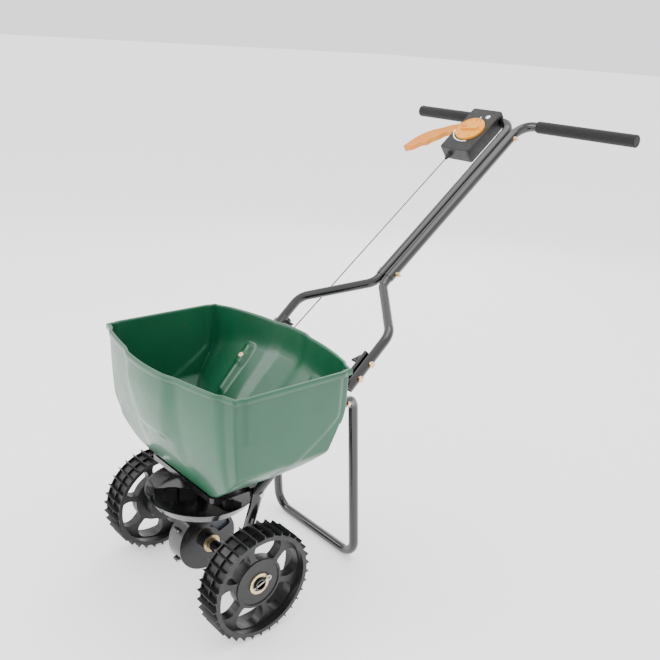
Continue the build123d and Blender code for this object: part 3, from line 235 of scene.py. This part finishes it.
def front_wall(x, z):
    """Y of the front wall's outer face."""
    blend = side_share(x)
    foot = -0.050 - 0.012 * blend
    height = (z - (FLOOR_Z - WALL)) / (RIM_Z - FLOOR_Z + WALL)
    belly = (1 - (1 - height) ** 2.0) ** (0.82 + 0.05 * blend)
    y = foot + (rim_front(x) - foot) * belly
    edge = 0.052 + 0.030 * smooth_step(0.43, 0.55, z)
    centre_panel = bump_between(0.0, edge - 0.010, 0.030, x) * smooth_step(0.402, 0.424, z)
    return y - 0.0045 * centre_panel * (1 - smooth_step(0.50, 0.558, z))


def back_wall(x, z):
    """Y of the back wall's outer face: a long slope and an upright band under the rim."""
    blend = side_share(x)
    foot_y = 0.026 + 0.064 * (abs(x) / HALF_WIDTH) ** 4
    foot_z = FLOOR_Z - WALL
    knee_y = rim_back(x) - 0.014 * (1 - blend)
    knee_z = 0.496 - 0.038 * blend
    on_slope = foot_y + (z - foot_z) * (knee_y - foot_y) / (knee_z - foot_z)
    on_band = knee_y + (z - knee_z) * (rim_back(x) - knee_y) / (RIM_Z - knee_z)
    softness = 0.006
    gap = (on_slope - on_band) / softness
    return on_band - softness * math.log1p(math.exp(-gap)) if gap > -30 else on_slope


def back_slope_normal():
    """Inward normal of the back slope at the ribs."""
    foot_y, foot_z = 0.026 + 0.064 * (RIB_X / HALF_WIDTH) ** 4, FLOOR_Z - WALL
    blend = side_share(RIB_X)
    knee_y = rim_back(RIB_X) - 0.014 * (1 - blend)
    run = Vector((0, knee_y - foot_y, 0.496 - 0.038 * blend - foot_z)).normalized()
    return Vector((0, -run.z, run.y)), run


def rib_height(x, z):
    """How far the fixing ribs and their bolt bosses stand in from the back slope."""
    _, run = back_slope_normal()
    along = (z - 0.4595) / run.z
    ridge = bump_between(RIB_X, 0.0065, 0.007, abs(x)) * bump_between(-0.026, 0.060, 0.012, along)
    boss = bump_between(RIB_X, 0.0125, 0.0025, abs(x)) * bump_between(0.0, 0.0130, 0.003, along)
    return max(0.0088 * ridge, 0.0105 * boss)


def end_panel_relief(y, z, front, back):
    """The end panels carry a slightly raised D with a rounded lower border."""
    drop = max(0.0, 0.46 - z)
    inset = 0.016 + 0.9 * drop + 5.0 * drop * drop
    inside = min(y - (front + inset), (back - inset * 0.8) - y)
    return 0.0035 * smooth_step(0.0, 0.007, inside)


def grid_lines(stops, counts):
    """Evenly divided stretches between fixed stops."""
    lines = [stops[0]]
    for start, end, count in zip(stops, stops[1:], counts):
        lines += [start + (end - start) * (i + 1) / count for i in range(count)]
    return lines


def hopper_lines():
    """Grid lines across (-1 to 1) and front to back (0 to 1), with lines on the outlets' edges."""
    slot = [v * MM / LEVEL_HALF for v in (8, 18, 34)]
    half = grid_lines([0.0, *slot, 0.85, 1.0], [4, 3, 5, 20, 12])
    across = [-v for v in reversed(half[1:])] + half
    through = grid_lines([0.0, 0.10, 0.803, 0.908, 0.97, 1.0], [6, 20, 5, 4, 3])
    return across, through


def ring_points(z, across, through, shift):
    """One level ring of the wall, moved in or out by shift."""
    half = half_width(z)
    points = []
    for u in across:
        x = u * half
        points.append(Vector((x + u * shift * (abs(u) > 0.999), front_wall(x, z) - shift, z)))
    front, back = front_wall(half, z), back_wall(half, z)
    right = []
    for v in through[1:-1]:
        y = front + (back - front) * v
        relief = end_panel_relief(y, z, front, back)
        right.append(Vector((half + shift + relief, y + shift * (2 * v - 1), z)))
    points += right
    inward, _ = back_slope_normal()
    for u in reversed(across):
        x = u * half
        spot = Vector((x + u * shift * (abs(u) > 0.999), back_wall(x, z) + shift, z))
        points.append(spot + inward * rib_height(x, z))
    points += [Vector((-p.x, p.y, p.z)) for p in reversed(right)]
    return points


def make_hopper():
    """One continuous sheet: skirt, rim, inner wall and floor, thickened outwards."""
    across, through = hopper_lines()
    levels = [(RIM_Z - SKIRT, LIP), (RIM_Z - SKIRT * 0.5, LIP), (RIM_Z - 0.0025, LIP),
              (RIM_Z - 0.0008, LIP - 0.0008), (RIM_Z, LIP - 0.0026), (RIM_Z, LIP * 0.2),
              (RIM_Z, -WALL * 0.45), (RIM_Z - 0.0008, -WALL * 0.85),
              (RIM_Z - 0.003, -WALL)]
    count = 84
    top, bottom = RIM_Z - 0.003, FLOOR_Z - WALL
    for i in range(1, count):
        share = i / count
        levels.append((bottom + (top - bottom) * (1 - share) ** 1.35 if share < 1 else bottom, -WALL))
    levels.append((bottom + 0.0006, -WALL))
    mesh = bmesh.new()
    rings = []
    for z, shift in levels:
        lift = WALL if z < RIM_Z - SKIRT * 1.5 else 0.0
        ring = ring_points(z, across, through, shift)
        fade = smooth_step(bottom, bottom + 0.03, z)
        rings.append([mesh.verts.new(p + Vector((0, 0, lift * (1 - fade)))) for p in ring])
    for upper, lower in zip(rings, rings[1:]):
        for i in range(len(upper)):
            j = (i + 1) % len(upper)
            mesh.faces.new((upper[i], upper[j], lower[j], lower[i]))
    add_floor(mesh, rings[-1], across, through)
    bmesh.ops.recalc_face_normals(mesh, faces=mesh.faces)
    data = bpy.data.meshes.new("hopper_shell")
    mesh.to_mesh(data)
    mesh.free()
    data.transform(Matrix.Translation((0, AXLE_Y, 0)))
    for face in data.polygons:
        face.use_smooth = True
    piece = make_piece("hopper_shell", data, "hopper_green", "frame")
    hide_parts("hopper")
    skin = piece.modifiers.new("wall", "SOLIDIFY")
    skin.thickness = WALL
    skin.offset = HOPPER_SKIN_SIDE
    skin.use_even_offset = False
    return piece


def add_floor(mesh, ring, across, through):
    """Fills the floor between the last ring's front and back, leaving the outlets open."""
    n, m = len(across), len(through)
    front = ring[:n]
    right = ring[n:n + m - 2]
    back = list(reversed(ring[n + m - 2:2 * n + m - 2]))
    left = list(reversed(ring[2 * n + m - 2:]))
    rows = [front]
    for k in range(1, m - 1):
        row = [left[k - 1]]
        for i in range(1, n - 1):
            spot = front[i].co.lerp(back[i].co, through[k])
            row.append(mesh.verts.new(spot))
        rows.append(row + [right[k - 1]])
    rows.append(back)
    slots = [(-34, -18), (-8, 8), (18, 34)]
    for k in range(m - 1):
        for i in range(n - 1):
            middle_x = (across[i] + across[i + 1]) / 2 * LEVEL_HALF / MM
            middle_v = (through[k] + through[k + 1]) / 2
            if 0.803 < middle_v < 0.908 and any(low < middle_x < high for low, high in slots):
                continue
            mesh.faces.new((rows[k][i], rows[k][i + 1], rows[k + 1][i + 1], rows[k + 1][i]))


# ---------------------------------------------------------------- printing on the control box
def handle_point(x, s, d):
    """A point given across, along and above the handle's plane, in millimetres."""
    c, sn = math.cos(HANDLE_ANGLE), math.sin(HANDLE_ANGLE)
    return HANDLEBAR + Vector((x, s * c - d * sn, s * sn + d * c)) * MM


def strip_mesh(name, outline, d, thickness=0.25):
    """A thin raised plate with the given outline in the handle's plane."""
    mesh = bmesh.new()
    low = [mesh.verts.new(handle_point(x, s, d)) for x, s in outline]
    high = [mesh.verts.new(handle_point(x, s, d + thickness)) for x, s in outline]
    mesh.faces.new(high)
    mesh.faces.new(list(reversed(low)))
    for i in range(len(outline)):
        j = (i + 1) % len(outline)
        mesh.faces.new((low[i], low[j], high[j], high[i]))
    bmesh.ops.recalc_face_normals(mesh, faces=mesh.faces)
    data = bpy.data.meshes.new(name)
    mesh.to_mesh(data)
    mesh.free()
    return data


def arc_points(centre, radius, start, end, count):
    step = (end - start) / count
    return [(centre[0] + radius * math.cos(math.radians(start + step * i)),
             centre[1] + radius * math.sin(math.radians(start + step * i))) for i in range(count + 1)]


DIAL = (-98.5, -67.0)
BOX_TOP = 24.0
DIAL_FACE = 28.55
DIAL_BAR_TOP = 35.35
DIAL_BAR_TURN = 10.0
DIAL_TICKS = 11
ROUND_MARK = (-78.0, -14.0)


def dial_point(along, across, angle):
    """A point on the dial, given along and across a line that leaves its centre at an angle."""
    turn = math.radians(angle)
    return (DIAL[0] + along * math.cos(turn) - across * math.sin(turn),
            DIAL[1] + along * math.sin(turn) + across * math.cos(turn))


def plate_outline(start, end, half, angle):
    corners = [(start, -half), (end, -half), (end, half), (start, half)]
    return [dial_point(along, across, angle) for along, across in corners]


def make_dial_marks():
    """Scale ticks around the dial's face, and the darker end of its turning bar."""
    for i in range(DIAL_TICKS):
        angle = 30.0 * i - 60.0
        length = 6.5 if i % 5 == 0 else 4.0
        mesh = strip_mesh("dial_tick", plate_outline(34.5 - length, 34.5, 0.7, angle), DIAL_FACE)
        make_piece(f"dial_tick_{i + 1}", mesh, "box_plastic", "dial")
    mesh = strip_mesh("bar_end", plate_outline(-23.0, -6.0, 5.2, DIAL_BAR_TURN), DIAL_BAR_TOP)
    make_piece("dial_bar_end", mesh, "dial_bar_plastic", "dial")


def make_prints():
    """A turning arrow and an index mark beside the dial, and a round mark on the box."""
    outer = arc_points(DIAL, 47.0, 200, 292, 24)
    inner = arc_points(DIAL, 43.8, 292, 200, 24)
    arc = strip_mesh("turn_arc", outer + inner, BOX_TOP)
    make_piece("turn_arc", arc, "white_print", "frame")
    tip = arc_points(DIAL, 45.4, 188, 188, 1)[0]
    base = [arc_points(DIAL, r, 200, 200, 1)[0] for r in (41.5, 49.5)]
    arrow = strip_mesh("turn_arrow", [tip, *base], BOX_TOP)
    make_piece("turn_arrow", arrow, "white_print", "frame")
    mark = [(DIAL[0] - 3, DIAL[1] + 50), (DIAL[0] + 3, DIAL[1] + 50), (DIAL[0], DIAL[1] + 43.5)]
    make_piece("index_mark", strip_mesh("index_mark", mark, BOX_TOP), "white_print", "frame")
    spot = arc_points(ROUND_MARK, 6.5, 0, 345, 23)
    make_piece("round_mark", strip_mesh("round_mark", spot, BOX_TOP), "white_print", "frame")


# ---------------------------------------------------------------- stage
def make_stage():
    floor_mesh = bpy.data.meshes.new("floor")
    mesh = bmesh.new()
    bmesh.ops.create_grid(mesh, x_segments=1, y_segments=1, size=60.0)
    mesh.to_mesh(floor_mesh)
    mesh.free()
    floor = bpy.data.objects.new("floor", floor_mesh)
    bpy.context.collection.objects.link(floor)
    material, nodes, _ = new_material("studio_floor")
    shader = nodes["Principled BSDF"]
    shader.inputs["Base Color"].default_value = (0.92, 0.92, 0.92, 1)
    shader.inputs["Roughness"].default_value = 0.9
    shader.inputs["Emission Color"].default_value = (1.0, 1.0, 1.0, 1)
    shader.inputs["Emission Strength"].default_value = 0.6
    floor_mesh.materials.append(material)

    world = bpy.data.worlds.new("studio")
    bpy.context.scene.world = world
    world.use_nodes = True
    world.node_tree.nodes["Background"].inputs["Color"].default_value = (1.0, 1.0, 1.0, 1)
    world.node_tree.nodes["Background"].inputs["Strength"].default_value = 1.6


def add_light(name, place, target, size, power):
    data = bpy.data.lights.new(name, "AREA")
    data.shape = "RECTANGLE"
    data.size, data.size_y = size
    data.energy = power
    light = bpy.data.objects.new(name, data)
    light.location = place
    light.rotation_euler = (Vector(target) - Vector(place)).to_track_quat("-Z", "Y").to_euler()
    bpy.context.collection.objects.link(light)


def make_camera():
    back = Vector((math.sin(CAMERA_AZIMUTH) * math.cos(CAMERA_ELEVATION),
                   -math.cos(CAMERA_AZIMUTH) * math.cos(CAMERA_ELEVATION), math.sin(CAMERA_ELEVATION)))
    right = Vector((math.cos(CAMERA_AZIMUTH), math.sin(CAMERA_AZIMUTH), 0))
    up = back.cross(right)
    turned_right = right * math.cos(CAMERA_ROLL) + up * math.sin(CAMERA_ROLL)
    turned_up = up * math.cos(CAMERA_ROLL) - right * math.sin(CAMERA_ROLL)
    data = bpy.data.cameras.new("camera")
    data.lens = CAMERA_LENS
    data.sensor_width = 36.0
    camera = bpy.data.objects.new("camera", data)
    turn = Matrix((turned_right, turned_up, back)).transposed().to_4x4()
    camera.matrix_world = Matrix.Translation(CAMERA_PLACE) @ turn
    bpy.context.collection.objects.link(camera)
    bpy.context.scene.camera = camera


make_stage()
add_light("key", (-1.6, -2.6, 2.6), (0, -0.2, 0.4), (2.2, 1.6), 55)
add_light("top", (0.3, 0.2, 3.2), (0, 0, 0.4), (2.5, 2.5), 50)
add_light("rear", (-1.8, 2.4, 1.8), (0, 0.2, 0.6), (1.2, 2.0), 25)
make_camera()
dress_cad_nodes()
make_hopper()
make_prints()
make_dial_marks()
